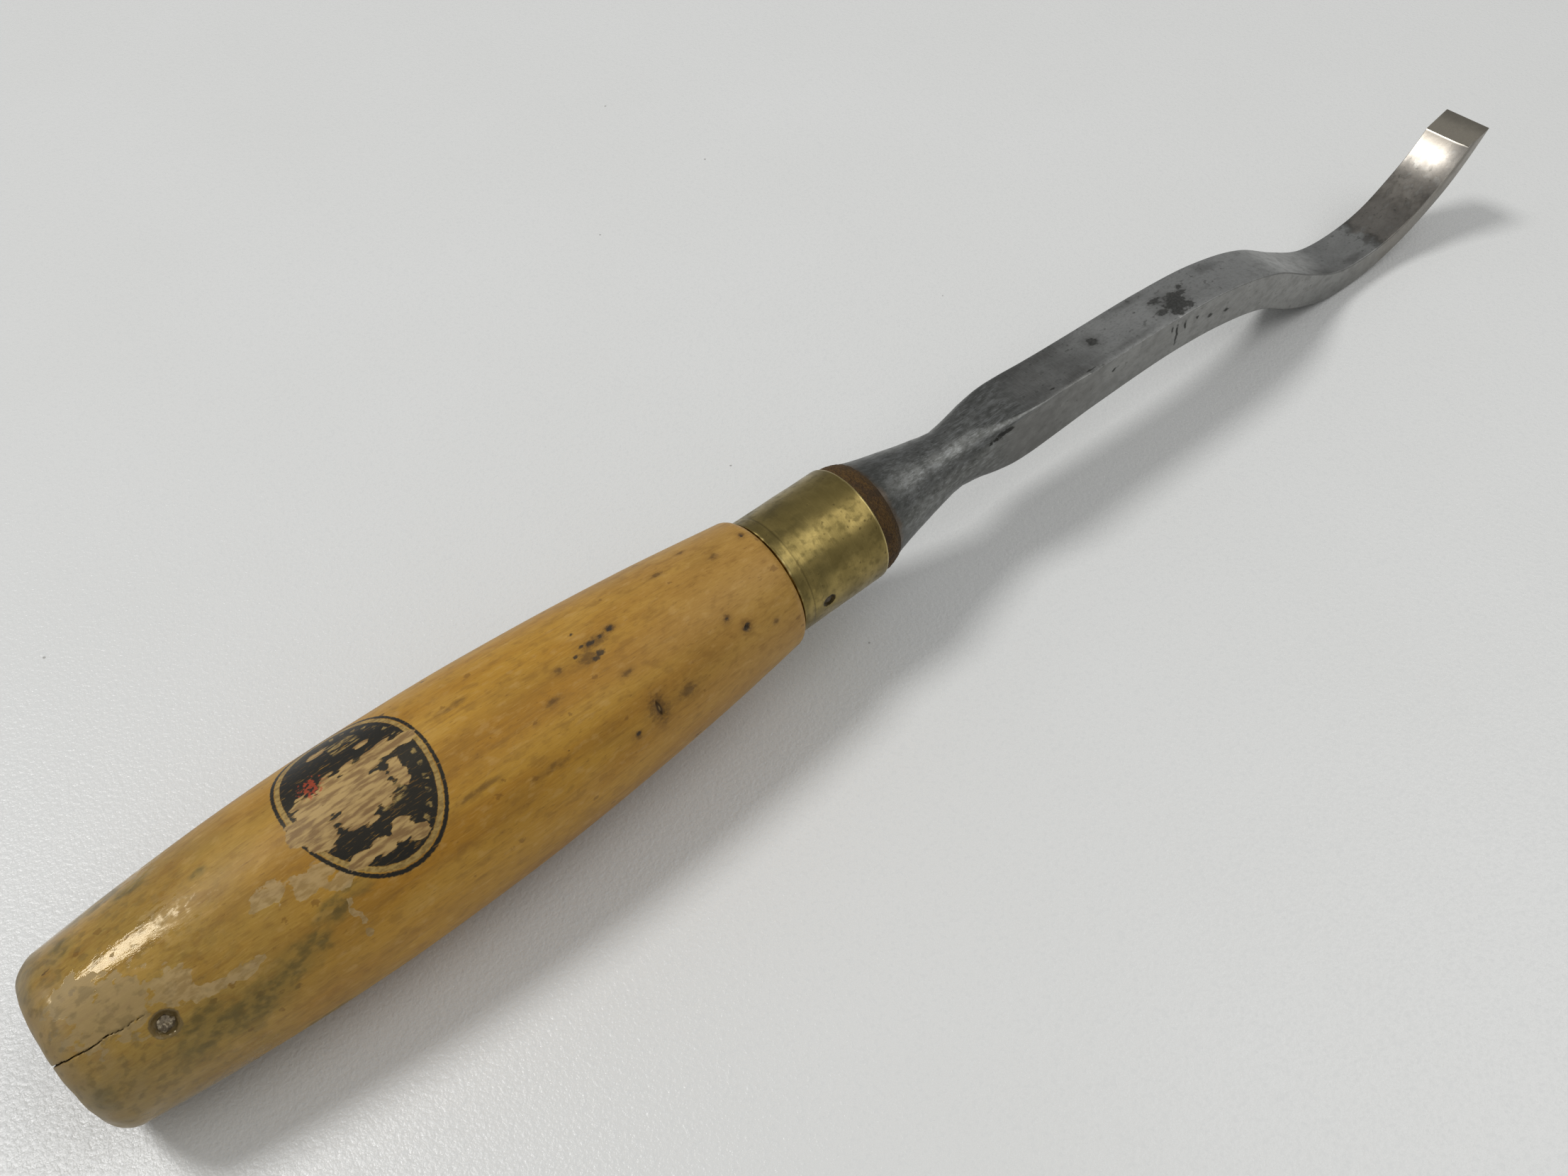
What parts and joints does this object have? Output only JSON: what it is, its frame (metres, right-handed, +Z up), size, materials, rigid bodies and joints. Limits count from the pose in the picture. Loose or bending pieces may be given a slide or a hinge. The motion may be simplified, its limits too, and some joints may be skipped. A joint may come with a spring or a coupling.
{
  "type": "swan-neck mortise chisel",
  "caption": "Long carpenter's chisel with a swan-necked steel blade, a turned wooden handle, a brass ferrule and a leather washer.",
  "frame": {"origin": "middle of the bounding box's base, on the table that the tool lies on", "axes": "+Z up with the bevel facing up; +X roughly along the tool from the butt to the cutting edge, which rises 2.35 degrees above the table because the tool rests on its handle and its neck; +Y to the left"},
  "size_m": [0.3936, 0.0396, 0.0405],
  "materials": {
    "steel": "old forged steel, ground and brushed lengthwise, grey patina with dark stains, brighter at the bevel",
    "leather": "dark brown compressed sole leather, dull",
    "brass": "tarnished olive-gold brass with dark patches and a brighter worn rim",
    "wood": "turned hardwood under aged glossy varnish, fine grain along the handle, worn and stained at the butt",
    "nail_steel": "dull grey iron, hammered"
  },
  "bodies": {
    "root": {"blade": "steel", "leather_washer": "leather", "ferrule": "brass", "handle": "wood", "handle_nail": "nail_steel", "ferrule_pin": "nail_steel"}
  },
  "joints": []
}
